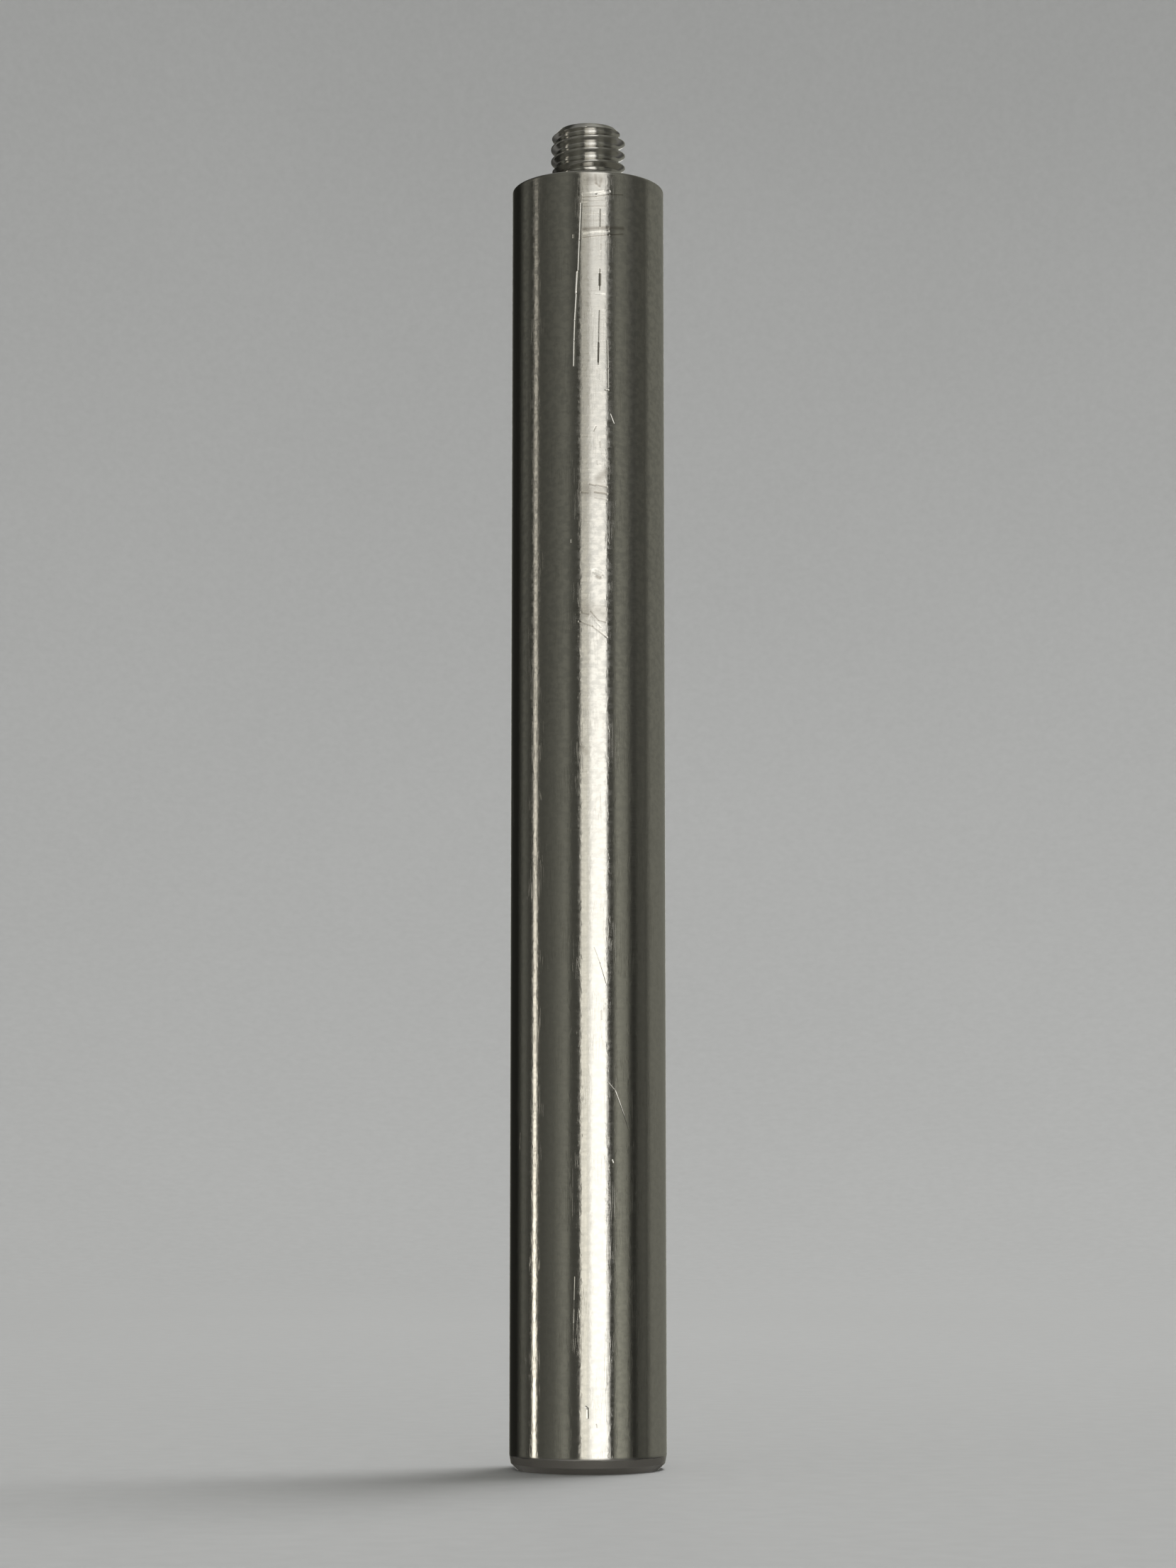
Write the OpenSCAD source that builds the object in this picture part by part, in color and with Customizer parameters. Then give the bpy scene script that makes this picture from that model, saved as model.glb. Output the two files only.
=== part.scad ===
// Optical post: a ground steel rod, turned from one bar, with a short threaded stud
// on the shoulder at its top and a tapped hole in the seating face at its foot.
// The origin is the centre of the seating face and +Z runs up the rod to the stud.

/* [Body] */
// Diameter of the ground body
body_d = 12; // [9:0.5:25]
// Length of the body, from the seating face up to the shoulder
body_l = 100; // [30:5:300]
// Width of the 45 degree chamfer round the seating face
foot_chamfer = 0.6; // [0.3:0.1:1]
// Radius that blends this chamfer into the ground body
foot_blend_r = 1; // [0.2:0.1:2]
// Width of the 45 degree edge break round the shoulder
shoulder_chamfer = 0.2; // [0.1:0.05:0.8]

/* [Thread] */
// Nominal diameter of the thread, on the stud and in the tapped hole alike
thread_d = 6; // [4:0.5:8]
// Pitch of this thread
thread_pitch = 1; // [0.5:0.05:1.25]

/* [Stud] */
// Height of the stud above the shoulder
stud_l = 5; // [4:0.5:15]
// Width of the 45 degree chamfer at the tip, where the thread starts
tip_chamfer = 0.7; // [0.3:0.05:1.2]

/* [Thread relief] */
// Height of the undercut between the shoulder and the foot of the thread
relief_l = 1.8; // [1.6:0.1:2.4]
// Depth of the undercut below the crests of the thread
relief_depth = 0.75; // [0.3:0.05:0.9]
// Radius in the corner where the undercut meets the shoulder
relief_corner_r = 0.8; // [0.2:0.05:1]

/* [Tapped hole] */
// Depth of the drilled hole at its full diameter
drill_depth = 12; // [8:0.5:20]
// Included angle of the drill's point
drill_point_angle = 118; // [90:1:140]
// How far the countersink at the mouth is wider than the thread
countersink_over = 0.4; // [0.1:0.1:1]
// Included angle of the countersink
countersink_angle = 90; // [60:5:120]

/* [Hidden] */
// Sides of each circle, and steps in each small arc of the outline
$fn = 96;
arc_steps = 8;
// How far a cut runs past the face that it opens
past = 1;

body_r = body_d / 2;
stud_r = thread_d / 2;
relief_r = stud_r - relief_depth;
drill_r = (thread_d - thread_pitch) / 2;
countersink_r = (thread_d + countersink_over) / 2;
countersink_depth = (countersink_r - drill_r) / tan(countersink_angle / 2);
drill_point_l = drill_r / tan(drill_point_angle / 2);
stud_top = body_l + stud_l;

// An arc round centre [r, z] that starts at one angle and ends at another
function arc(centre, radius, from, to) = [
    for (i = [0:arc_steps])
        let (a = from + (to - from) * i / arc_steps)
            centre + radius * [cos(a), sin(a)]
];

// The foot, from the axis out over the seating face and round the blended chamfer
function foot_outline() =
    let (
        blend_z = foot_chamfer + foot_blend_r * tan(45 / 2),
        blend_centre = [body_r - foot_blend_r, blend_z]
    )
    concat([[0, 0], [body_r - foot_chamfer, 0]], arc(blend_centre, foot_blend_r, -45, 0));

// The shoulder, with its broken edge and the flat that a stacked part seats on
function shoulder_outline() = [
    [body_r, body_l - shoulder_chamfer],
    [body_r - shoulder_chamfer, body_l]
];

// The undercut: a rounded corner at the shoulder, a plain neck and a 45 degree run-out
function relief_outline() = concat(
    arc(
        [relief_r + relief_corner_r, body_l + relief_corner_r],
        relief_corner_r,
        270,
        180
    ),
    [[relief_r, body_l + relief_l - relief_depth], [stud_r, body_l + relief_l]]
);

// The stud at its full diameter, then the chamfer that leads it into a tapped hole
function stud_outline() = [
    [stud_r, stud_top - tip_chamfer],
    [stud_r - tip_chamfer, stud_top],
    [0, stud_top]
];

// The blank as it leaves the lathe, one outline turned about the axis
module turned_blank() {
    rotate_extrude()
        polygon(concat(foot_outline(), shoulder_outline(), relief_outline(), stud_outline()));
}

// The blind hole in the foot: countersink, drilled wall at the tapping size, drill point
module tapped_hole() {
    rotate_extrude()
        polygon([
            [0, -past],
            [countersink_r + past * tan(countersink_angle / 2), -past],
            [drill_r, countersink_depth],
            [drill_r, drill_depth],
            [0, drill_depth + drill_point_l]
        ]);
}

// The whole post
module post() {
    color("silver")
        difference() {
            turned_blank();
            tapped_hole();
        }
}

post();
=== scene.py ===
# The looks of the optical post: one piece of ground and turned steel with its real threads,
# its finish and its handling marks, on a pale floor in soft light.
# The post's lengths are in millimetres until its mesh is made. The stage's, the lamp's and the
# camera's are in metres. An angle round the post is in degrees from the camera's side, growing
# towards +X.
import math
import random

import bpy
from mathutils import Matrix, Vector


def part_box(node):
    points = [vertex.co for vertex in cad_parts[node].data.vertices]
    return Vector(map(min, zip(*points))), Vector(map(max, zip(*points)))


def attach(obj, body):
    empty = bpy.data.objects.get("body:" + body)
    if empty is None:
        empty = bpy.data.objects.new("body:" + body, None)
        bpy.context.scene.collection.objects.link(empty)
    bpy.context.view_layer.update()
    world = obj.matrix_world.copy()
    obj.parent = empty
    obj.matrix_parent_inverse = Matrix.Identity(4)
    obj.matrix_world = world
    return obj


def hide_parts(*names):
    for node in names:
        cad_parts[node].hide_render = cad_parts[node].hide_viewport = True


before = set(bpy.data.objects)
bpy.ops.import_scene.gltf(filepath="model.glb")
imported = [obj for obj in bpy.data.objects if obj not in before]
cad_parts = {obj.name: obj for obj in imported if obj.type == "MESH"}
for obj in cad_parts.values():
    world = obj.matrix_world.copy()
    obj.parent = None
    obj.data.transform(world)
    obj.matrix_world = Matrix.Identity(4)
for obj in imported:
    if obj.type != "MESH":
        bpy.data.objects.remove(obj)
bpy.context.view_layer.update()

MM = 0.001

# ---- Sizes -----------------------------------------------------------------------------

# They follow the CAD source, apart from the foot's flare and the relief's plain neck
_, post_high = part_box("post")
BODY_R = round(post_high.x / MM, 2)
STUD_TOP = round(post_high.z / MM, 2)
STUD_L = 5.0
SHOULDER_Z = STUD_TOP - STUD_L
SHOULDER_CHAMFER = 0.2
FOOT_CHAMFER = 0.48                # the foot's 45 degree chamfer, then a steeper flare above it
FOOT_FACE_R = 5.4
FOOT_FLARE_TOP = 1.15
FOOT_EDGE_REACH = 0.05             # how far an edge's rounding reaches on both sides
BODY_LOW = FOOT_FLARE_TOP + 0.1    # where the ground finish starts
BODY_HIGH = SHOULDER_Z - 0.3       # where it ends
RELIEF_R = 2.25
RELIEF_CORNER_R = 0.8
NECK_L = 1.0                       # the relief's plain part, below the run-out of the thread
NECK_TOP_Z = SHOULDER_Z + NECK_L
TIP_R = 2.3
DRILL_R = 2.5
DRILL_DEPTH = 12.0
DRILL_POINT_ANGLE = 118
COUNTERSINK_R = 3.2

# ---- The thread ------------------------------------------------------------------------

PITCH = 1.0
FLANK_ANGLE = 60                   # between a flank's normal and the radius, in degrees
CREST_FLAT = 0.10
ROOT_FLAT = 0.31
ROOT_HOLLOW = 0.5                  # how fast the root curves, for each millimetre from its middle
ROOT_BLEND = 0.10                  # depth over which a flank bends into the root
STUD_CREST_R = 2.95
STUD_CREST_Z = SHOULDER_Z + 2.0    # height of one crest on the +X side
HOLE_THREAD_END = 10.5
HOLE_TAP_LEAD = 2.0

# ---- Mesh fineness ---------------------------------------------------------------------

COLUMNS = 144
STUD_ROWS = 32                     # rows in each pitch
HOLE_ROWS = 16
BODY_ROWS = 50
CURVE_STEPS = 8
HOLD = 0.03                        # width of the strip that keeps a rounding's shading in place
WELD = 1e-5                        # corners closer than this are one vertex
SHARP_ANGLE = 32                   # an edge that turns by more than this many degrees stays sharp

# ---- Places on the texture sheet -------------------------------------------------------

SHEET = 77.4                       # side of the square sheet
ROUND_L = 37.7                     # once round the body
STUD_ROUND_L = 18.5
# Each place: its left edge, its bottom edge and its width
LOWER_BODY_AT = (0.5, 0.5, ROUND_L)
UPPER_BODY_AT = (39.2, 0.5, ROUND_L)
FOOT_AT = (0.5, 51.0, ROUND_L)
SHOULDER_AT = (0.5, 57.0, ROUND_L)
TIP_AT = (0.5, 64.0, STUD_ROUND_L)
DRILL_AT = (20.0, 64.0, STUD_ROUND_L)
STUD_AT = (39.2, 51.0, STUD_ROUND_L)
HOLE_AT = (58.3, 51.0, STUD_ROUND_L)
THREAD_STRETCH = 1.4               # length along a thread's profile for each unit of height

GROUND, TURNED, THREADED = range(3)

# ---- Handling marks on the ground body -------------------------------------------------

# Each mark: its points (degrees round, height), half width, depth, and how dark it is up to 1
MARKS = [
    # the long scratch down the left edge of the highlight
    ([(-5.0, 97.3), (-6.1, 94.4), (-7.0, 92.0)], 0.09, 0.015, 0.0),
    ([(-7.4, 91.8), (-8.2, 90.2)], 0.16, 0.024, 0.0),
    ([(-8.2, 90.2), (-9.4, 88.0), (-9.9, 86.4), (-10.2, 84.4)], 0.11, 0.020, 0.0),
    # upright nicks in the highlight
    ([(9.3, 96.9), (9.1, 95.5)], 0.07, 0.010, 0.35),
    ([(9.9, 94.1), (9.4, 93.6)], 0.12, 0.004, 0.35),
    ([(9.0, 92.1), (8.8, 90.4)], 0.06, 0.010, 0.4),
    ([(9.0, 91.7), (8.9, 90.8)], 0.14, 0.018, 0.6),
    ([(8.5, 88.8), (7.9, 86.2), (7.6, 84.5)], 0.06, 0.010, 0.6),
    ([(7.9, 86.2), (7.6, 84.7)], 0.09, 0.015, 0.5),
    ([(14.4, 86.4), (15.0, 84.2), (15.1, 82.7)], 0.06, 0.010, 0.5),
    ([(13.0, 82.5), (15.2, 82.5)], 0.08, 0.010, 0.7),
    ([(16.7, 80.6), (19.4, 79.9)], 0.06, 0.012, 0.0),
    # rings left where a clamp has turned near the stud
    ([(-3.6, 98.05), (6.0, 98.15), (16.0, 98.35)], 0.16, 0.009, 0.0),
    ([(-3.6, 97.8), (6.0, 97.88), (16.0, 98.08), (27.0, 98.2)], 0.10, 0.003, 0.8),
    ([(-3.0, 97.5), (13.0, 97.6)], 0.14, 0.002, 0.3),
    ([(-3.0, 97.05), (14.0, 97.15)], 0.14, 0.002, 0.4),
    ([(-2.0, 96.5), (13.0, 96.5)], 0.09, 0.003, 0.35),
    ([(-2.0, 95.9), (11.0, 96.0)], 0.20, 0.002, 0.25),
    ([(-3.2, 95.25), (15.0, 95.42), (27.0, 95.5)], 0.27, 0.003, 0.8),
    ([(-3.0, 94.9), (15.5, 95.15)], 0.10, 0.007, 0.0),
    ([(-3.6, 94.58), (15.5, 94.85), (27.0, 95.05)], 0.11, 0.003, 0.8),
    # the smudge above them
    ([(1.0, 99.2), (9.0, 99.3)], 0.70, 0.000, 0.45),
    ([(5.5, 99.6), (6.2, 98.9), (8.6, 98.7), (10.2, 99.3)], 0.18, 0.002, 0.4),
    # rubbed places further down the highlight
    ([(5.8, 90.1), (12.6, 90.1)], 0.08, 0.006, 0.0),
    ([(3.9, 79.2), (5.8, 79.6)], 0.09, 0.006, 0.4),
    ([(8.9, 78.4), (9.0, 78.0)], 0.12, 0.004, 0.4),
    ([(6.5, 76.9), (7.0, 76.6)], 0.10, 0.004, 0.3),
    ([(8.0, 75.5), (13.5, 76.0)], 0.55, 0.000, 0.6),
    ([(0.8, 75.05), (5.4, 74.95)], 0.12, 0.003, 0.5),
    ([(6.0, 75.0), (14.0, 74.85)], 0.12, 0.003, 0.35),
    ([(-4.8, 74.4), (-0.5, 74.35)], 0.14, 0.003, 0.45),
    ([(4.9, 74.42), (14.0, 74.3)], 0.14, 0.004, 0.6),
    ([(5.0, 74.0), (14.0, 73.85)], 0.12, 0.002, 0.3),
    ([(0.0, 74.6), (13.0, 74.6)], 1.10, 0.000, 0.45),
    ([(5.2, 68.15), (9.4, 67.95)], 0.34, 0.038, 0.25),
    ([(6.6, 67.8), (8.8, 67.7)], 0.22, 0.000, 0.8),
    ([(-4.0, 65.4), (13.0, 64.9)], 1.10, 0.000, 0.45),
    ([(-5.0, 65.0), (0.0, 64.9)], 0.12, 0.004, 0.4),
    ([(1.5, 65.1), (8.0, 64.4), (13.0, 64.3)], 0.10, 0.004, 0.5),
    ([(2.0, 64.7), (9.5, 63.9)], 0.10, 0.006, 0.0),
    ([(-6.5, 64.3), (3.0, 63.95), (14.0, 63.1)], 0.11, 0.005, 0.55),
    ([(-5.0, 54.6), (-1.5, 54.2)], 0.40, 0.000, 0.4),
    ([(4.3, 39.3), (8.8, 38.1), (13.3, 36.6)], 0.05, 0.004, 0.35),
    ([(9.8, 34.5), (10.0, 33.9)], 0.14, 0.006, 0.4),
    # fine marks beside the highlight
    ([(14.7, 29.1), (20.0, 28.5), (25.3, 27.1), (30.8, 25.6)], 0.05, 0.008, 0.0),
    ([(-38.4, 51.3), (-36.8, 50.7)], 0.08, 0.015, 0.0),
    ([(17.6, 23.3), (18.3, 23.1)], 0.07, 0.012, 0.0),
    ([(-10.9, 94.8), (-10.9, 94.6)], 0.10, 0.012, 0.0),
    ([(-12.3, 70.7), (-12.3, 70.5)], 0.08, 0.012, 0.0),
    ([(-9.4, 14.6), (-9.8, 12.9)], 0.04, 0.004, 0.0),
    ([(-9.9, 12.2), (-10.1, 11.2)], 0.04, 0.004, 0.0),
    ([(-1.4, 5.0), (-0.3, 4.9), (-0.2, 4.2)], 0.10, 0.015, 0.0),
    ([(6.0, 3.7), (6.3, 3.5)], 0.08, 0.005, 0.6),
]
# More scratches on the sides the photograph doesn't show, each with values from these ranges
FAR_MARKS = 12
FAR_MARKS_SEED = 8
FAR_MARK_ANGLE = (60, 300)
FAR_MARK_HEIGHT = (4, 96)
FAR_MARK_TURN = (-6, 6)
FAR_MARK_CLIMB = (0.5, 4.0)
FAR_MARK_HALF_WIDTH = (0.05, 0.08)
FAR_MARK_DEPTH = 0.012
FAR_MARK_DARKNESS = (0.0, 0.6)


# ---- Mesh ------------------------------------------------------------------------------

class Shell:
    """The faces of the turned part. Corners at one place share a vertex, so sections join."""

    def __init__(self):
        self.points = []
        self.faces = []
        self.finishes = []
        self.sheet = []
        self.found = {}

    def corner(self, column, radius, height):
        """The vertex at that column of the turn, radius and height."""
        angle = math.tau * column / COLUMNS
        point = (radius * math.cos(angle), radius * math.sin(angle), height)
        key = tuple(round(value / WELD) for value in point)
        if key not in self.found:
            self.found[key] = len(self.points)
            self.points.append(point)
        return self.found[key]

    def add_grid(self, rows, place, along, finish, sheet_at, climb=0):
        """Adds a section whose points place(column, row) gives. A row climbs so many rows a turn.

        along(column, row) is how far up its part of the texture sheet a point lies."""
        left, bottom, width = sheet_at
        for column in range(COLUMNS):
            after = (column + 1) % COLUMNS
            shift = climb if after == 0 else 0
            for row in rows:
                steps = (
                    (column, row, column),
                    (after, row + shift, column + 1),
                    (after, row + 1 + shift, column + 1),
                    (column, row + 1, column),
                )
                ring = [self.corner(at, *place(at, step)) for at, step, _ in steps]
                kept = [i for i, vertex in enumerate(ring) if vertex != ring[i - 1]]
                if len({ring[i] for i in kept}) < 3:
                    continue
                self.faces.append([ring[i] for i in kept])
                self.finishes.append(finish)
                for at, step, turned in (steps[i] for i in kept):
                    across = left + width * turned / COLUMNS
                    self.sheet += [across / SHEET, (bottom + along(at, step)) / SHEET]

    def add_outline(self, outline, finish, sheet_at):
        """Adds the surface that a line of (radius, height) points sweeps round the axis."""
        lengths = [0.0]
        for start, end in zip(outline, outline[1:]):
            lengths.append(lengths[-1] + math.dist(start, end))
        rows = range(len(outline) - 1)
        self.add_grid(
            rows, lambda _, row: outline[row], lambda _, row: lengths[row], finish, sheet_at
        )


def rounded(corners, reaches):
    """The line through the corners, each inner one rounded over its reach on both sides."""
    line = [corners[0]]
    for before, corner, after, reach in zip(corners, corners[1:], corners[2:], reaches):
        corner = Vector(corner)
        back = (Vector(before) - corner).normalized()
        ahead = (Vector(after) - corner).normalized()
        start = corner + back * reach
        end = corner + ahead * reach
        line.append(tuple(corner + back * (reach + HOLD)))
        for step in range(CURVE_STEPS + 1):
            part = step / CURVE_STEPS
            line.append(tuple(start.lerp(corner, part).lerp(corner.lerp(end, part), part)))
        line.append(tuple(corner + ahead * (reach + HOLD)))
    line.append(corners[-1])
    return line


def spread(start, end, steps):
    """Points on the straight line between two points, both included."""
    return [
        tuple(a + (b - a) * step / steps for a, b in zip(start, end))
        for step in range(steps + 1)
    ]


def thread_depth(offset):
    """Depth below the crest of a thread with flat crests and hollow roots, so far from a crest."""
    slope = math.tan(math.radians(FLANK_ANGLE))
    across = abs((offset / PITCH + 0.5) % 1.0 - 0.5) * PITCH
    flank = (across - CREST_FLAT / 2) * slope
    deepest = (PITCH - CREST_FLAT - ROOT_FLAT) / 2 * slope
    root = deepest - ROOT_HOLLOW * (PITCH / 2 - across)**2
    bend = max(ROOT_BLEND - abs(flank - root), 0.0) / ROOT_BLEND
    return max(min(flank, root) - bend**2 * ROOT_BLEND / 4, 0.0)


def stud_place(column, row):
    """A point on the stud's thread, between the relief's neck and the face at the tip."""
    turn = column / COLUMNS
    height = NECK_TOP_Z + PITCH * (row / STUD_ROWS + turn)
    height = min(max(height, NECK_TOP_Z), STUD_TOP)
    thread = STUD_CREST_R - thread_depth(height - STUD_CREST_Z - PITCH * turn)
    run_out = RELIEF_R + height - NECK_TOP_Z
    tip = TIP_R + STUD_TOP - height
    return min(thread, run_out, tip), height


def hole_place(column, row):
    """A point on the hole's thread, from its inner end down to the mouth in the foot."""
    turn = column / COLUMNS
    height = HOLE_THREAD_END + PITCH * (turn - row / HOLE_ROWS)
    height = min(max(height, 0.0), HOLE_THREAD_END)
    lead = min(1.0, (HOLE_THREAD_END - height) / HOLE_TAP_LEAD)
    thread = DRILL_R + lead * thread_depth(height - PITCH * turn)
    return max(thread, COUNTERSINK_R - height), height


def add_foot(shell):
    """The tapped hole, the seating face round it, and the flared chamfer up to the body."""
    drill_tip = DRILL_DEPTH + DRILL_R / math.tan(math.radians(DRILL_POINT_ANGLE / 2))
    drilled = [(0, drill_tip), (DRILL_R, DRILL_DEPTH), (DRILL_R, HOLE_THREAD_END)]
    shell.add_outline(drilled, TURNED, DRILL_AT)
    shell.add_grid(
        range((math.ceil(HOLE_THREAD_END / PITCH) + 1) * HOLE_ROWS),
        hole_place,
        lambda *at: (HOLE_THREAD_END - hole_place(*at)[1]) * THREAD_STRETCH,
        THREADED,
        HOLE_AT,
        climb=-HOLE_ROWS,
    )
    face = spread((COUNTERSINK_R, 0), (FOOT_FACE_R, 0), CURVE_STEPS)
    corners = [
        (FOOT_FACE_R, 0),
        (FOOT_FACE_R + FOOT_CHAMFER, FOOT_CHAMFER),
        (BODY_R, FOOT_FLARE_TOP),
        (BODY_R, BODY_LOW),
    ]
    chamfer = rounded(corners, (FOOT_EDGE_REACH, FOOT_EDGE_REACH))
    shell.add_outline(face + chamfer[1:], TURNED, FOOT_AT)


def add_stud(shell):
    """The shoulder, the thread relief, the stud's thread and the face at its tip."""
    corners = [
        (BODY_R, BODY_HIGH),
        (BODY_R, SHOULDER_Z),
        (RELIEF_R, SHOULDER_Z),
        (RELIEF_R, NECK_TOP_Z),
    ]
    shoulder = rounded(corners, (SHOULDER_CHAMFER, RELIEF_CORNER_R))
    shell.add_outline(shoulder, TURNED, SHOULDER_AT)
    turns = math.ceil((STUD_TOP - NECK_TOP_Z) / PITCH) + 1
    shell.add_grid(
        range(-STUD_ROWS, turns * STUD_ROWS),
        stud_place,
        lambda *at: (stud_place(*at)[1] - NECK_TOP_Z) * THREAD_STRETCH,
        THREADED,
        STUD_AT,
        climb=STUD_ROWS,
    )
    shell.add_outline(spread((TIP_R, STUD_TOP), (0, STUD_TOP), CURVE_STEPS), TURNED, TIP_AT)


def make_post():
    """The whole post as one closed mesh, with its texture sheet laid out."""
    shell = Shell()
    add_foot(shell)
    middle = (BODY_LOW + BODY_HIGH) / 2
    for low, high, at in ((BODY_LOW, middle, LOWER_BODY_AT), (middle, BODY_HIGH, UPPER_BODY_AT)):
        shell.add_outline(spread((BODY_R, low), (BODY_R, high), BODY_ROWS // 2), GROUND, at)
    add_stud(shell)

    mesh = bpy.data.meshes.new("turned_post")
    mesh.from_pydata([Vector(point) * MM for point in shell.points], [], shell.faces)
    mesh.polygons.foreach_set("material_index", shell.finishes)
    mesh.polygons.foreach_set("use_smooth", [True] * len(shell.faces))
    mesh.uv_layers.new(name="OFBake").data.foreach_set("uv", shell.sheet)
    mesh.update()
    mesh.set_sharp_from_angle(angle=math.radians(SHARP_ANGLE))
    post = bpy.data.objects.new("turned_post", mesh)
    bpy.context.scene.collection.objects.link(post)
    return post


# ---- Shader nodes ----------------------------------------------------------------------

class Nodes:
    """Adds nodes to an empty tree. A value is a number, a tuple or another node's output."""

    def __init__(self, tree):
        self.tree = tree
        tree.nodes.clear()

    def add(self, kind, *values, output=0, named=None, **settings):
        """Adds a node, feeds its first inputs in order and the named ones, returns its output."""
        node = self.tree.nodes.new(kind)
        for name, value in settings.items():
            setattr(node, name, value)
        for socket, value in zip(node.inputs, values):
            self.feed(socket, value)
        for name, value in (named or {}).items():
            self.feed(node.inputs[name], value)
        return node.outputs[output] if node.outputs else None

    def feed(self, socket, value):
        """Links an output to a socket, or sets the socket's own value."""
        if isinstance(value, bpy.types.NodeSocket):
            self.tree.links.new(value, socket)
        else:
            socket.default_value = value

    def math(self, operation, *values):
        """A Math node."""
        return self.add("ShaderNodeMath", *values, operation=operation)

    def vector(self, operation, *values, output=0):
        """A Vector Math node."""
        return self.add("ShaderNodeVectorMath", *values, operation=operation, output=output)

    def parts(self, vector):
        """The three parts of a vector."""
        node = self.tree.nodes.new("ShaderNodeSeparateXYZ")
        self.feed(node.inputs[0], vector)
        return node.outputs

    def total(self, values):
        """The sum of several values."""
        result = values[0]
        for value in values[1:]:
            result = self.math("ADD", result, value)
        return result

    def remap(self, value, low, high, new_low=0.0, new_high=1.0):
        """Carries a value smoothly from one range to another and holds it there."""
        values = (value, low, high, new_low, new_high)
        return self.add("ShaderNodeMapRange", *values, interpolation_type="SMOOTHSTEP")

    def noise(self, point, detail=2.0, scale=1.0):
        """Noise between 0 and 1, mostly near the middle."""
        named = {"Vector": point, "Scale": scale, "Detail": detail}
        return self.add("ShaderNodeTexNoise", named=named)

    def mix(self, factor, first, second):
        """A colour between two others."""
        mixer = self.tree.nodes.new("ShaderNodeMix")
        mixer.data_type = "RGBA"
        colours = [s for s in mixer.inputs if s.type == "RGBA"]
        self.feed(mixer.inputs[0], factor)
        for socket, colour in zip(colours, (first, second)):
            is_plain = not isinstance(colour, bpy.types.NodeSocket)
            self.feed(socket, (*colour, 1.0) if is_plain else colour)
        return next(s for s in mixer.outputs if s.type == "RGBA")

    def steps(self, value, low, high, stops):
        """Looks a value up in (place, brightness) stops that run from low to high."""
        place = self.math("DIVIDE", self.math("SUBTRACT", value, low), high - low)
        ramp = self.tree.nodes.new("ShaderNodeValToRGB")
        elements = ramp.color_ramp.elements
        while len(elements) < len(stops):
            elements.new(0.5)
        for element, (at, brightness) in zip(elements, stops):
            element.position = (at - low) / (high - low)
            element.color = (brightness, brightness, brightness, 1.0)
        self.feed(ramp.inputs[0], place)
        return ramp.outputs[0]


class PostPoint:
    """The place on the post, in millimetres, and what the patterns need to know of it."""

    def __init__(self, nodes):
        place = nodes.add("ShaderNodeTexCoord", output="Object")
        self.nodes = nodes
        self.point = nodes.vector("MULTIPLY", place, (1 / MM, 1 / MM, 1 / MM))
        self.x, self.y, self.height = nodes.parts(self.point)
        flat = nodes.vector("MULTIPLY", self.point, (1.0, 1.0, 0.0))
        self.radius = nodes.vector("LENGTH", flat, output="Value")
        self.outward = nodes.vector("NORMALIZE", flat)

    def lathe(self, fast, slow):
        """A place for noise that runs round the post: fast along its outline, slow round it."""
        nodes = self.nodes
        along = nodes.math("MULTIPLY", nodes.math("ADD", self.radius, self.height), fast)
        lift = nodes.add("ShaderNodeCombineXYZ", 0.0, 0.0, along)
        around = nodes.vector("MULTIPLY", self.outward, (slow, slow, slow))
        return nodes.vector("ADD", around, lift)

    def unrolled(self):
        """The body's surface laid flat: length round from the camera's side, and height."""
        nodes = self.nodes
        angle = nodes.math("ARCTAN2", self.x, nodes.math("MULTIPLY", self.y, -1.0))
        return nodes.add(
            "ShaderNodeCombineXYZ", nodes.math("MULTIPLY", angle, BODY_R), self.height, 0.0
        )


def groove_group():
    """A node group: how much of a straight scratch a place is in, from 0 to 1 at its middle."""
    group = bpy.data.node_groups.new("groove", "ShaderNodeTree")
    wanted = {
        "Place": "NodeSocketVector",
        "Start": "NodeSocketVector",
        "Direction": "NodeSocketVector",
        "Length": "NodeSocketFloat",
        "Half Width": "NodeSocketFloat",
    }
    for name, kind in wanted.items():
        group.interface.new_socket(name, in_out="INPUT", socket_type=kind)
    group.interface.new_socket("Share", in_out="OUTPUT", socket_type="NodeSocketFloat")
    nodes = Nodes(group)
    given = group.nodes.new("NodeGroupInput").outputs
    offset = nodes.vector("SUBTRACT", given["Place"], given["Start"])
    along = nodes.vector("DOT_PRODUCT", offset, given["Direction"], output="Value")
    held = nodes.math("MINIMUM", nodes.math("MAXIMUM", along, 0.0), given["Length"])
    nearest = nodes.add(
        "ShaderNodeVectorMath", given["Direction"], named={"Scale": held}, operation="SCALE"
    )
    away = nodes.vector("DISTANCE", offset, nearest, output="Value")
    share = nodes.remap(nodes.math("DIVIDE", away, given["Half Width"]), 0.0, 1.0, 1.0, 0.0)
    result = group.nodes.new("NodeGroupOutput")
    nodes.feed(result.inputs["Share"], share)
    return group


def flat_place(angle, height):
    """A mark's place on the unrolled body, from degrees round and height."""
    return Vector((math.radians(angle) * BODY_R, height, 0.0))


def far_marks():
    """Short scratches on the sides that the photograph doesn't show."""
    chance = random.Random(FAR_MARKS_SEED)
    marks = []
    for _ in range(FAR_MARKS):
        angle = chance.uniform(*FAR_MARK_ANGLE)
        height = chance.uniform(*FAR_MARK_HEIGHT)
        angle = angle if angle < 180 else angle - 360
        turn = chance.uniform(*FAR_MARK_TURN)
        climb = chance.uniform(*FAR_MARK_CLIMB)
        line = [(angle, height), (angle + turn, height + climb)]
        half_width = chance.uniform(*FAR_MARK_HALF_WIDTH)
        dark = chance.uniform(*FAR_MARK_DARKNESS)
        marks.append((line, half_width, FAR_MARK_DEPTH, dark))
    return marks


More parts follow.
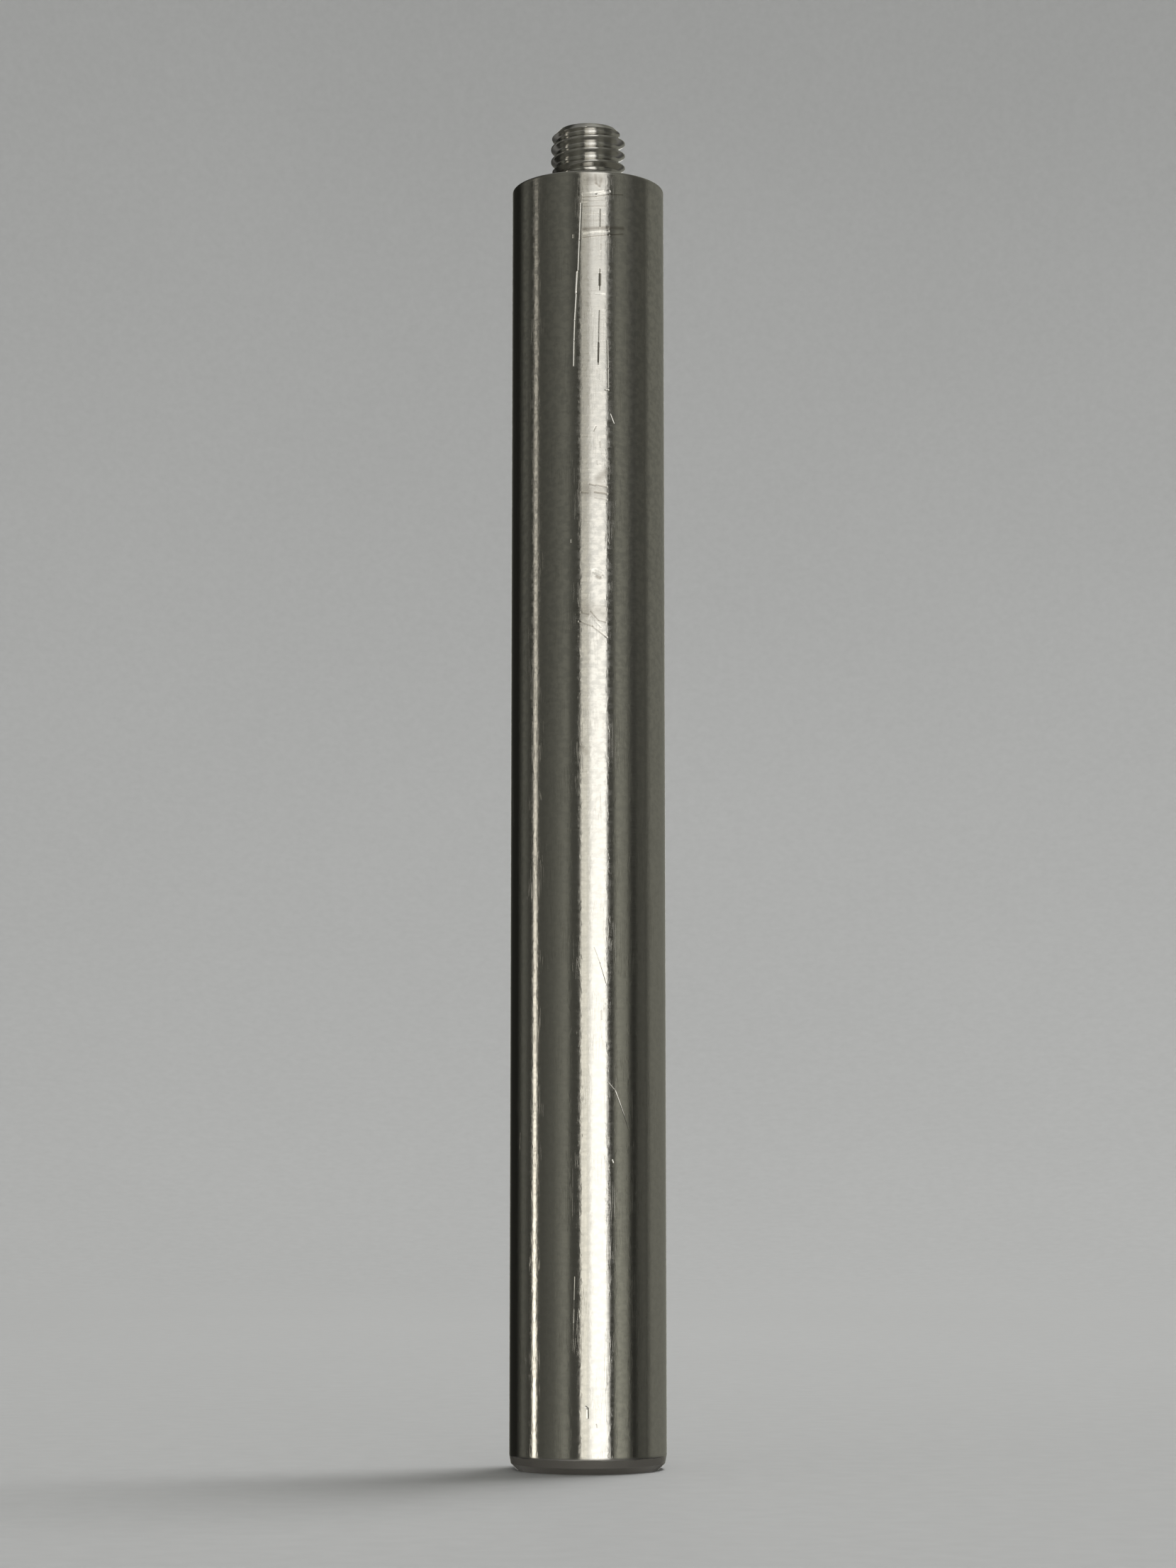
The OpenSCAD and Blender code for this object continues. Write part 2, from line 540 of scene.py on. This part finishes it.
def mark_patterns(nodes, place):
    """The height and the darkness that all the marks leave at a place."""
    group = groove_group()
    heights = []
    stains = []
    for line, half_width, depth, dark in MARKS + far_marks():
        ends = [flat_place(*point) for point in line]
        for start, end in zip(ends, ends[1:]):
            node = nodes.tree.nodes.new("ShaderNodeGroup")
            node.node_tree = group
            nodes.feed(node.inputs["Place"], place)
            node.inputs["Start"].default_value = start
            node.inputs["Direction"].default_value = (end - start).normalized()
            node.inputs["Length"].default_value = (end - start).length
            node.inputs["Half Width"].default_value = half_width
            share = node.outputs["Share"]
            heights.append(nodes.math("MULTIPLY", share, -depth))
            if dark:
                stains.append(nodes.math("MULTIPLY", share, dark))
    return nodes.total(heights), nodes.math("MINIMUM", nodes.total(stains), 1.0)


# ---- Materials -------------------------------------------------------------------------

STEEL_CLEAN = (0.608, 0.593, 0.563)
STEEL_DULL = (0.52, 0.51, 0.488)
STEEL_CUT = (0.70, 0.69, 0.665)
STEEL_DARKENED = (0.30, 0.28, 0.25)
STEEL_TURN = 0.25                  # direction in which the steel's reflections stretch, in turns
NOISE_MOST = (0.3, 0.7)            # where most of a noise's values lie

# Noise scales: for each millimetre along the outline, and for each radian round it
GRINDING_SCALE = (4.2, 3.0)
CLUMP_SCALE = (1.2, 17.0)
MOTTLE_SCALE = (2.4, 11.0)
HAIR_PATCH_SCALE = (0.25, 3.0)
HAIR_STROKE_SCALE = (0.3, 34.0)
TURNED_RING_SCALE = (8.0, 0.8)
THREAD_RING_SCALE = (9.0, 2.0)

# The ground body. Heights and depths are in millimetres.
GRINDING_HEIGHT = 0.003
WORN_GRINDING_HEIGHT = 0.003       # added where the body is worn
WORN_FROM_TO = (0.48, 0.68)        # where the clumps' noise counts as worn
CLUMP_HEIGHT = 0.0004
MOTTLE_FROM_TO = (0.38, 0.60)      # where the mottle's noise fades from dull to clean
MOTTLE_ROUGHNESS = 0.08
HANDLED_FROM_TO = (38, 72)         # heights between which the mottle grows to its full strength
UNHANDLED_MOTTLE = 0.4             # its strength below them
HAIR_PATCH_FROM_TO = (0.5, 0.62)   # where the patches' noise lets hairlines show
HAIR_HALF_WIDTH = 0.035            # in the strokes' noise
HAIR_DEPTH = 0.001
HAIR_DARKNESS = 0.25
GROUND_ROUGHNESS = (0.11, 0.14)
GROUND_ANISOTROPY = 0.6

# The turned ends
# painted shade: the foot's dark colour stands for the shaded floor that its flare and chamfer
# would mirror
FOOT_PAINTED_SHADE = (0.17, 0.16, 0.145)
FOOT_SHADE_METALLIC = 0.3              # how metallic the steel stays under the foot's painted shade
SHADE_EDGE_STRAY = 0.2             # how far down the upper edge of the foot's painted shade strays
TURNED_STAIN_SCALE = 0.8
TURNED_RING_HEIGHT = 0.003
TURNED_ROUGHNESS = (0.16, 0.26)
TURNED_ANISOTROPY = 0.5

# The threads
THREAD_BLOTCH_SCALE = 1.2
THREAD_DARKENING_STRAY = 0.6           # how far up the flanks the darkening strays
THREAD_DARKENING_FROM_TO = (0.6, 1.3)   # depth below the crests, with that stray added
THREAD_RING_HEIGHT = 0.0005
THREAD_ROUGHNESS = 0.14
THREAD_BLOTCH_ROUGHNESS = 0.1
THREAD_ANISOTROPY = 0.3


def new_material(name):
    """An empty material and its nodes."""
    material = bpy.data.materials.new(name)
    material.use_nodes = True
    return material, Nodes(material.node_tree)


def finish_steel(nodes, colour, roughness, height, anisotropic, metallic=1.0):
    """Joins a pattern's colour, roughness and height in millimetres to one steel shader."""
    bump = nodes.add(
        "ShaderNodeBump", named={"Strength": 1.0, "Distance": MM, "Height": height}
    )
    named = {
        "Base Color": colour,
        "Metallic": metallic,
        "Roughness": roughness,
        "Anisotropic": anisotropic,
        "Anisotropic Rotation": STEEL_TURN,
        "Normal": bump,
    }
    shader = nodes.add("ShaderNodeBsdfPrincipled", named=named)
    nodes.add("ShaderNodeOutputMaterial", shader)


def mottling(nodes, post):
    """How dull a place is, in soft blots that are stronger where the post has been handled."""
    blots = nodes.noise(post.lathe(*MOTTLE_SCALE), detail=4.0)
    dull = nodes.remap(blots, *MOTTLE_FROM_TO, 1.0, 0.0)
    handled = nodes.remap(post.height, *HANDLED_FROM_TO, UNHANDLED_MOTTLE, 1.0)
    return nodes.math("MULTIPLY", dull, handled)


def hairlines(nodes, post):
    """How much of an upright hairline a place is in. They come in patches."""
    patches = nodes.noise(post.lathe(*HAIR_PATCH_SCALE), detail=1.0)
    strokes = nodes.noise(post.lathe(*HAIR_STROKE_SCALE), detail=1.0)
    away = nodes.math("ABSOLUTE", nodes.math("SUBTRACT", strokes, 0.5))
    line = nodes.remap(away, 0.0, HAIR_HALF_WIDTH, 1.0, 0.0)
    return nodes.math("MULTIPLY", line, nodes.remap(patches, *HAIR_PATCH_FROM_TO))


def ground_steel():
    """The body: fine grinding marks round it, mottling, hairlines and handling marks."""
    material, nodes = new_material("ground_steel")
    post = PostPoint(nodes)
    fine = nodes.noise(post.lathe(*GRINDING_SCALE))
    clumps = nodes.noise(post.lathe(*CLUMP_SCALE), detail=3.0)
    mottle = mottling(nodes, post)
    hair = hairlines(nodes, post)
    marks, stains = mark_patterns(nodes, post.unrolled())

    worn = nodes.remap(clumps, *WORN_FROM_TO)
    deepest = nodes.math("MULTIPLY_ADD", worn, WORN_GRINDING_HEIGHT, GRINDING_HEIGHT)
    heights = [
        nodes.math("MULTIPLY", fine, deepest),
        nodes.math("MULTIPLY", clumps, CLUMP_HEIGHT),
        nodes.math("MULTIPLY", hair, -HAIR_DEPTH),
        marks,
    ]
    colour = nodes.mix(mottle, STEEL_CLEAN, STEEL_DULL)
    colour = nodes.mix(nodes.math("MULTIPLY", hair, HAIR_DARKNESS), colour, STEEL_DARKENED)
    colour = nodes.mix(stains, colour, STEEL_DARKENED)
    even = nodes.remap(fine, *NOISE_MOST, *GROUND_ROUGHNESS)
    roughness = nodes.math("MULTIPLY_ADD", mottle, MOTTLE_ROUGHNESS, even)
    finish_steel(nodes, colour, roughness, nodes.total(heights), GROUND_ANISOTROPY)
    return material


def turned_steel():
    """The end faces, chamfers and neck: even rings from the lathe tool, and painted shade at the
    foot.
    """
    material, nodes = new_material("turned_steel")
    post = PostPoint(nodes)
    rings = nodes.noise(post.lathe(*TURNED_RING_SCALE))
    stains = nodes.noise(post.point, detail=3.0, scale=TURNED_STAIN_SCALE)
    colour = nodes.mix(stains, STEEL_DULL, STEEL_CLEAN)
    # painted shade at the foot: a dark colour and less metal below an edge that wanders
    lowest_edge = FOOT_FLARE_TOP - SHADE_EDGE_STRAY
    shade_edge = nodes.math("MULTIPLY_ADD", stains, SHADE_EDGE_STRAY, lowest_edge)
    above_foot = nodes.math("GREATER_THAN", post.height, shade_edge)
    colour = nodes.mix(above_foot, FOOT_PAINTED_SHADE, colour)
    metallic = nodes.math("MAXIMUM", above_foot, FOOT_SHADE_METALLIC)
    roughness = nodes.remap(rings, *NOISE_MOST, *TURNED_ROUGHNESS)
    height = nodes.math("MULTIPLY", rings, TURNED_RING_HEIGHT)
    finish_steel(nodes, colour, roughness, height, TURNED_ANISOTROPY, metallic)
    return material


def threaded_steel():
    """The threads: bright crests, and a colour that turns darker and browner towards the roots."""
    material, nodes = new_material("threaded_steel")
    post = PostPoint(nodes)
    rings = nodes.noise(post.lathe(*THREAD_RING_SCALE))
    blotches = nodes.noise(post.point, scale=THREAD_BLOTCH_SCALE)
    above = nodes.math("GREATER_THAN", post.height, SHOULDER_Z)
    crest = nodes.math("MULTIPLY_ADD", above, STUD_CREST_R - DRILL_R, DRILL_R)
    depth = nodes.math("ABSOLUTE", nodes.math("SUBTRACT", post.radius, crest))
    stray = nodes.math("MULTIPLY_ADD", blotches, THREAD_DARKENING_STRAY, depth)
    # the colour turns darker towards the roots
    darkening = nodes.remap(stray, *THREAD_DARKENING_FROM_TO)
    colour = nodes.mix(darkening, STEEL_CUT, STEEL_DARKENED)
    roughness = nodes.math("MULTIPLY_ADD", blotches, THREAD_BLOTCH_ROUGHNESS, THREAD_ROUGHNESS)
    height = nodes.math("MULTIPLY", rings, THREAD_RING_HEIGHT)
    finish_steel(nodes, colour, roughness, height, THREAD_ANISOTROPY)
    return material


# ---- What the steel mirrors ------------------------------------------------------------

# Each glow has a brightness by degrees round the post and a share of it by degrees above the
# horizon, as (place, value) stops, and a tint.
ROOM = [
    (-180, 0.22), (-168, 0.10), (-155, 0.02), (-128, 0.015), (-119, 0.06), (-112, 0.125),
    (-106, 0.115), (-97, 0.055), (-93, 0.045), (-90, 0.072), (-72, 0.083), (-53, 0.122),
    (-35, 0.163), (-31, 0.162), (-25, 0.08), (-13, 0.055), (36, 0.05), (43, 0.18), (48, 0.192),
    (60, 0.16), (66, 0.055), (70, 0.03), (74, 0.035), (80, 0.08), (92, 0.10), (96, 0.078),
    (102, 0.145), (107, 0.195), (113, 0.2), (150, 0.19), (180, 0.22),
]
ROOM_UP = [(-90, 0.0), (-12, 0.0), (-9, 1.0), (20, 1.0), (50, 1.0), (90, 0.6)]
# the lit floor, which fades out towards the horizon
FLOOR = [
    (-180, 0.20), (-160, 0.16), (-125, 0.20), (-105, 0.10), (-90, 0.14), (-60, 0.26),
    (-25, 0.36), (-10, 0.44), (12, 0.44), (30, 0.30), (65, 0.22), (85, 0.09), (100, 0.14),
    (120, 0.22), (160, 0.18), (180, 0.20),
]
FLOOR_UP = [
    (-90, 0.6), (-60, 0.7), (-40, 1.0), (-27, 0.9), (-20, 0.4), (-12, 0.3), (-9, 0.0), (90, 0.0),
]
# light that comes back off low things in front of the post, and off high ones
LOW_BOUNCE = [
    (-180, 0.0), (-52, 0.0), (-41, 0.062), (-37, 0.096), (-33, 0.10), (-29, 0.074), (-25, 0.0),
    (37, 0.0), (42, 0.17), (45, 0.24), (50, 0.19), (57, 0.13), (63, 0.01), (66, 0.0), (180, 0.0),
]
LOW_BOUNCE_UP = [
    (-90, 0.0), (-12, 0.0), (-7, 1.1), (-2, 1.0), (1, 0.62), (4.5, 0.5), (8, 0.4),
    (11.5, 0.25), (14.5, 0.1), (17, 0.0), (90, 0.0),
]
HIGH_BOUNCE = [
    (-180, 0.0), (-30, 0.0), (-26, 0.035), (-20, 0.02), (-14, 0.0), (32, 0.0), (35, 0.05),
    (39, 0.0), (60, 0.0), (63, 0.04), (66, 0.07), (70, 0.078), (74, 0.055), (82, 0.01),
    (88, 0.0), (180, 0.0),
]
HIGH_BOUNCE_UP = [
    (-90, 0.0), (2, 0.0), (4.5, 0.05), (8, 0.4), (11.5, 0.8), (14.5, 1.0), (30, 1.0),
    (60, 0.5), (90, 0.5),
]
# the window, with a curtain at its left
WINDOW = [(-180, 0.0), (-1, 0.0), (4, 1.55), (7, 1.9), (27.4, 2.0), (28.6, 0.0), (180, 0.0)]
WINDOW_UP = [
    (-90, 0.0), (-12, 0.0), (-9, 1.15), (-4, 1.0), (4.5, 0.97), (8, 0.88), (11.5, 0.76),
    (14.5, 0.65), (16.5, 0.25), (17.6, 0.22), (19.5, 0.9), (28, 0.9), (31, 0.0), (90, 0.0),
]
# where the window shows wider, close to the foot and above the shoulder
WINDOW_EDGE = [(-180, 0.0), (27.4, 0.0), (28.6, 1.6), (30.8, 1.6), (31.8, 0.0), (180, 0.0)]
WINDOW_EDGE_UP = [
    (-90, 0.0), (-12, 0.0), (-9, 1.0), (-3.5, 1.0), (1, 0.0), (15.8, 0.0), (17, 0.45),
    (28, 0.45), (31, 0.0), (90, 0.0),
]
CURTAIN = [
    (-180, 0.0), (-11.6, 0.0), (-10.2, 1.1), (-8.5, 1.5), (-6, 1.0), (-3.5, 1.55), (-1, 1.0),
    (4, 0.0), (180, 0.0),
]
CURTAIN_UP = [
    (-90, 0.0), (-12, 0.0), (-9, 1.0), (-4, 1.0), (-2, 1.08), (1, 0.98), (4.5, 0.84),
    (8, 0.76), (11.5, 0.57), (14.5, 0.38), (16.5, 0.17), (17.6, 0.15), (19.5, 0.9),
    (28, 0.9), (31, 0.0), (90, 0.0),
]
# a narrow lamp at the left and another one far behind
SIDE_LAMP = [
    (-180, 0.0), (-90.0, 0.0), (-88.5, 1.6), (-86, 2.8), (-83, 2.2), (-81.1, 0.0), (180, 0.0),
]
SIDE_LAMP_UP = [
    (-90, 0.0), (-12, 0.0), (-7, 1.0), (-2, 1.0), (1, 0.74), (4.5, 0.5), (8, 0.36),
    (11.5, 0.26), (14.5, 0.22), (16.8, 0.16), (18, 0.0), (90, 0.0),
]
BACK_LAMP = [(-180, 1.2), (-175, 1.2), (-173, 0.0), (173, 0.0), (175, 1.2), (180, 1.2)]
BACK_LAMP_UP = [(-90, 0.0), (-12, 0.0), (-7, 1.0), (25, 1.0), (32, 0.0), (90, 0.0)]
# the ceiling, which the end faces mirror in views from above
CEILING = [(-180, 0.2), (180, 0.2)]
CEILING_UP = [(-90, 0.0), (54, 0.0), (62, 1.0), (90, 1.0)]

GLOWS = [
    (ROOM, ROOM_UP, (1.0, 1.0, 0.85)),
    (FLOOR, FLOOR_UP, (1.0, 0.98, 0.92)),
    (LOW_BOUNCE, LOW_BOUNCE_UP, (1.0, 1.0, 0.83)),
    (HIGH_BOUNCE, HIGH_BOUNCE_UP, (1.0, 1.0, 0.9)),
    (WINDOW, WINDOW_UP, (1.0, 0.985, 0.93)),
    (WINDOW_EDGE, WINDOW_EDGE_UP, (1.0, 0.985, 0.93)),
    (CURTAIN, CURTAIN_UP, (1.0, 0.97, 0.86)),
    (SIDE_LAMP, SIDE_LAMP_UP, (1.0, 0.945, 0.82)),
    (BACK_LAMP, BACK_LAMP_UP, (1.0, 0.985, 0.93)),
    (CEILING, CEILING_UP, (1.0, 1.0, 0.95)),
]

# ---- Stage, light and camera -----------------------------------------------------------

STAGE_DARK = (0.45, 0.453, 0.45)
STAGE_LIGHT = (0.55, 0.553, 0.55)
STAGE_GRAIN_SCALE = 450.0
STAGE_GRAIN_SHARE = 0.6
STAGE_CLOUD_SCALE = 6.0
STAGE_CLOUD_SHARE = 0.4
STAGE_ROUGHNESS = 0.8
STAGE_SHINE = 0.2
STAGE_FLAT_R = 0.45
STAGE_CURVE_R = 0.45
STAGE_CURVE_STEPS = 16
STAGE_WALL_TOP = 1.5
STAGE_COLUMNS = 96

OVERHEAD_SIZE = 0.6
OVERHEAD_PLACE = (0.4, 0.4, 1.5)
OVERHEAD_POWER = 14.0

CAMERA_PLACE = (0.0, -0.2595, 0.020)
CAMERA_AIM = (0.0, 0.0, 0.0525)
LENS = 77.0                        # this and the sensor's width are in millimetres
SENSOR = 36.0
NEAREST = 0.01                     # what is closer to the camera isn't drawn


def stage_paper():
    """Plain pale grey with a faint grain."""
    material, nodes = new_material("stage_paper")
    place = nodes.add("ShaderNodeTexCoord", output="Object")
    grain = nodes.noise(place, detail=3.0, scale=STAGE_GRAIN_SCALE)
    cloud = nodes.noise(place, scale=STAGE_CLOUD_SCALE)
    grain = nodes.math("MULTIPLY", grain, STAGE_GRAIN_SHARE)
    cloud = nodes.math("MULTIPLY", cloud, STAGE_CLOUD_SHARE)
    colour = nodes.mix(nodes.math("ADD", grain, cloud), STAGE_DARK, STAGE_LIGHT)
    named = {
        "Base Color": colour,
        "Roughness": STAGE_ROUGHNESS,
        "Specular IOR Level": STAGE_SHINE,
    }
    shader = nodes.add("ShaderNodeBsdfPrincipled", named=named)
    nodes.add("ShaderNodeOutputMaterial", shader)
    return material


def make_stage():
    """A round floor that curves up into a wall, so no edge shows from any side.

    The steel mirrors the floor glow instead, and the world's light shines through the stage."""
    centre_r, centre_z = STAGE_FLAT_R, STAGE_CURVE_R
    quarter = range(STAGE_CURVE_STEPS + 1)
    bends = [math.radians(-90 + 90 * step / STAGE_CURVE_STEPS) for step in quarter]
    outline = [(0.0, 0.0)]
    outline += [
        (centre_r + STAGE_CURVE_R * math.cos(bend), centre_z + STAGE_CURVE_R * math.sin(bend))
        for bend in bends
    ]
    outline.append((centre_r + STAGE_CURVE_R, STAGE_WALL_TOP))
    points = []
    for column in range(STAGE_COLUMNS):
        angle = math.tau * column / STAGE_COLUMNS
        points += [(r * math.cos(angle), r * math.sin(angle), z) for r, z in outline]
    rows = len(outline)
    faces = [
        (
            column * rows + row,
            (column + 1) % STAGE_COLUMNS * rows + row,
            (column + 1) % STAGE_COLUMNS * rows + row + 1,
            column * rows + row + 1,
        )
        for column in range(STAGE_COLUMNS)
        for row in range(rows - 1)
    ]
    mesh = bpy.data.meshes.new("stage_floor")
    mesh.from_pydata(points, [], faces)
    mesh.polygons.foreach_set("use_smooth", [True] * len(faces))
    mesh.materials.append(stage_paper())
    floor = bpy.data.objects.new("stage_floor", mesh)
    bpy.context.scene.collection.objects.link(floor)
    floor.visible_glossy = False
    floor.visible_shadow = False


def make_world():
    """The glows, which the steel mirrors as upright stripes."""
    world = bpy.data.worlds.new("studio")
    world.use_nodes = True
    bpy.context.scene.world = world
    nodes = Nodes(world.node_tree)
    x, y, z = nodes.parts(nodes.add("ShaderNodeTexCoord", output="Generated"))
    round_angle = nodes.math("ARCTAN2", x, nodes.math("MULTIPLY", y, -1.0))
    azimuth = nodes.math("DEGREES", round_angle)
    elevation = nodes.math("DEGREES", nodes.math("ARCSINE", z))
    colour = (0.0, 0.0, 0.0)
    for stops, shares, tint in GLOWS:
        around = nodes.steps(azimuth, -180, 180, stops)
        upwards = nodes.steps(elevation, -90, 90, shares)
        light = nodes.vector("MULTIPLY", around, upwards)
        colour = nodes.vector("MULTIPLY_ADD", light, tint, colour)
    background = nodes.add("ShaderNodeBackground", colour)
    nodes.add("ShaderNodeOutputWorld", background)


def make_overhead():
    """A wide lamp above, behind and to the right, for the floor's light and soft shadow."""
    data = bpy.data.lights.new("overhead", "AREA")
    data.shape = "DISK"
    data.size = OVERHEAD_SIZE
    data.energy = OVERHEAD_POWER
    lamp = bpy.data.objects.new("overhead", data)
    lamp.location = OVERHEAD_PLACE
    lamp.rotation_euler = Vector(OVERHEAD_PLACE).to_track_quat("Z", "Y").to_euler()
    lamp.visible_glossy = False
    lamp.visible_camera = False
    bpy.context.scene.collection.objects.link(lamp)


def make_camera():
    """The photograph's viewpoint, turned to centre this post, with a longer lens."""
    data = bpy.data.cameras.new("camera")
    data.sensor_width = SENSOR
    data.lens = LENS
    data.clip_start = NEAREST
    camera = bpy.data.objects.new("camera", data)
    camera.location = CAMERA_PLACE
    forward = Vector(CAMERA_AIM) - Vector(CAMERA_PLACE)
    camera.rotation_euler = forward.to_track_quat("-Z", "Y").to_euler()
    bpy.context.scene.collection.objects.link(camera)
    bpy.context.scene.camera = camera


# ---- Scene -----------------------------------------------------------------------------

post_piece = make_post()
for material in (ground_steel(), turned_steel(), threaded_steel()):
    post_piece.data.materials.append(material)
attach(post_piece, "root")
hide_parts("post")

make_stage()
make_world()
make_overhead()
make_camera()
bpy.context.scene.view_settings.view_transform = "Standard"
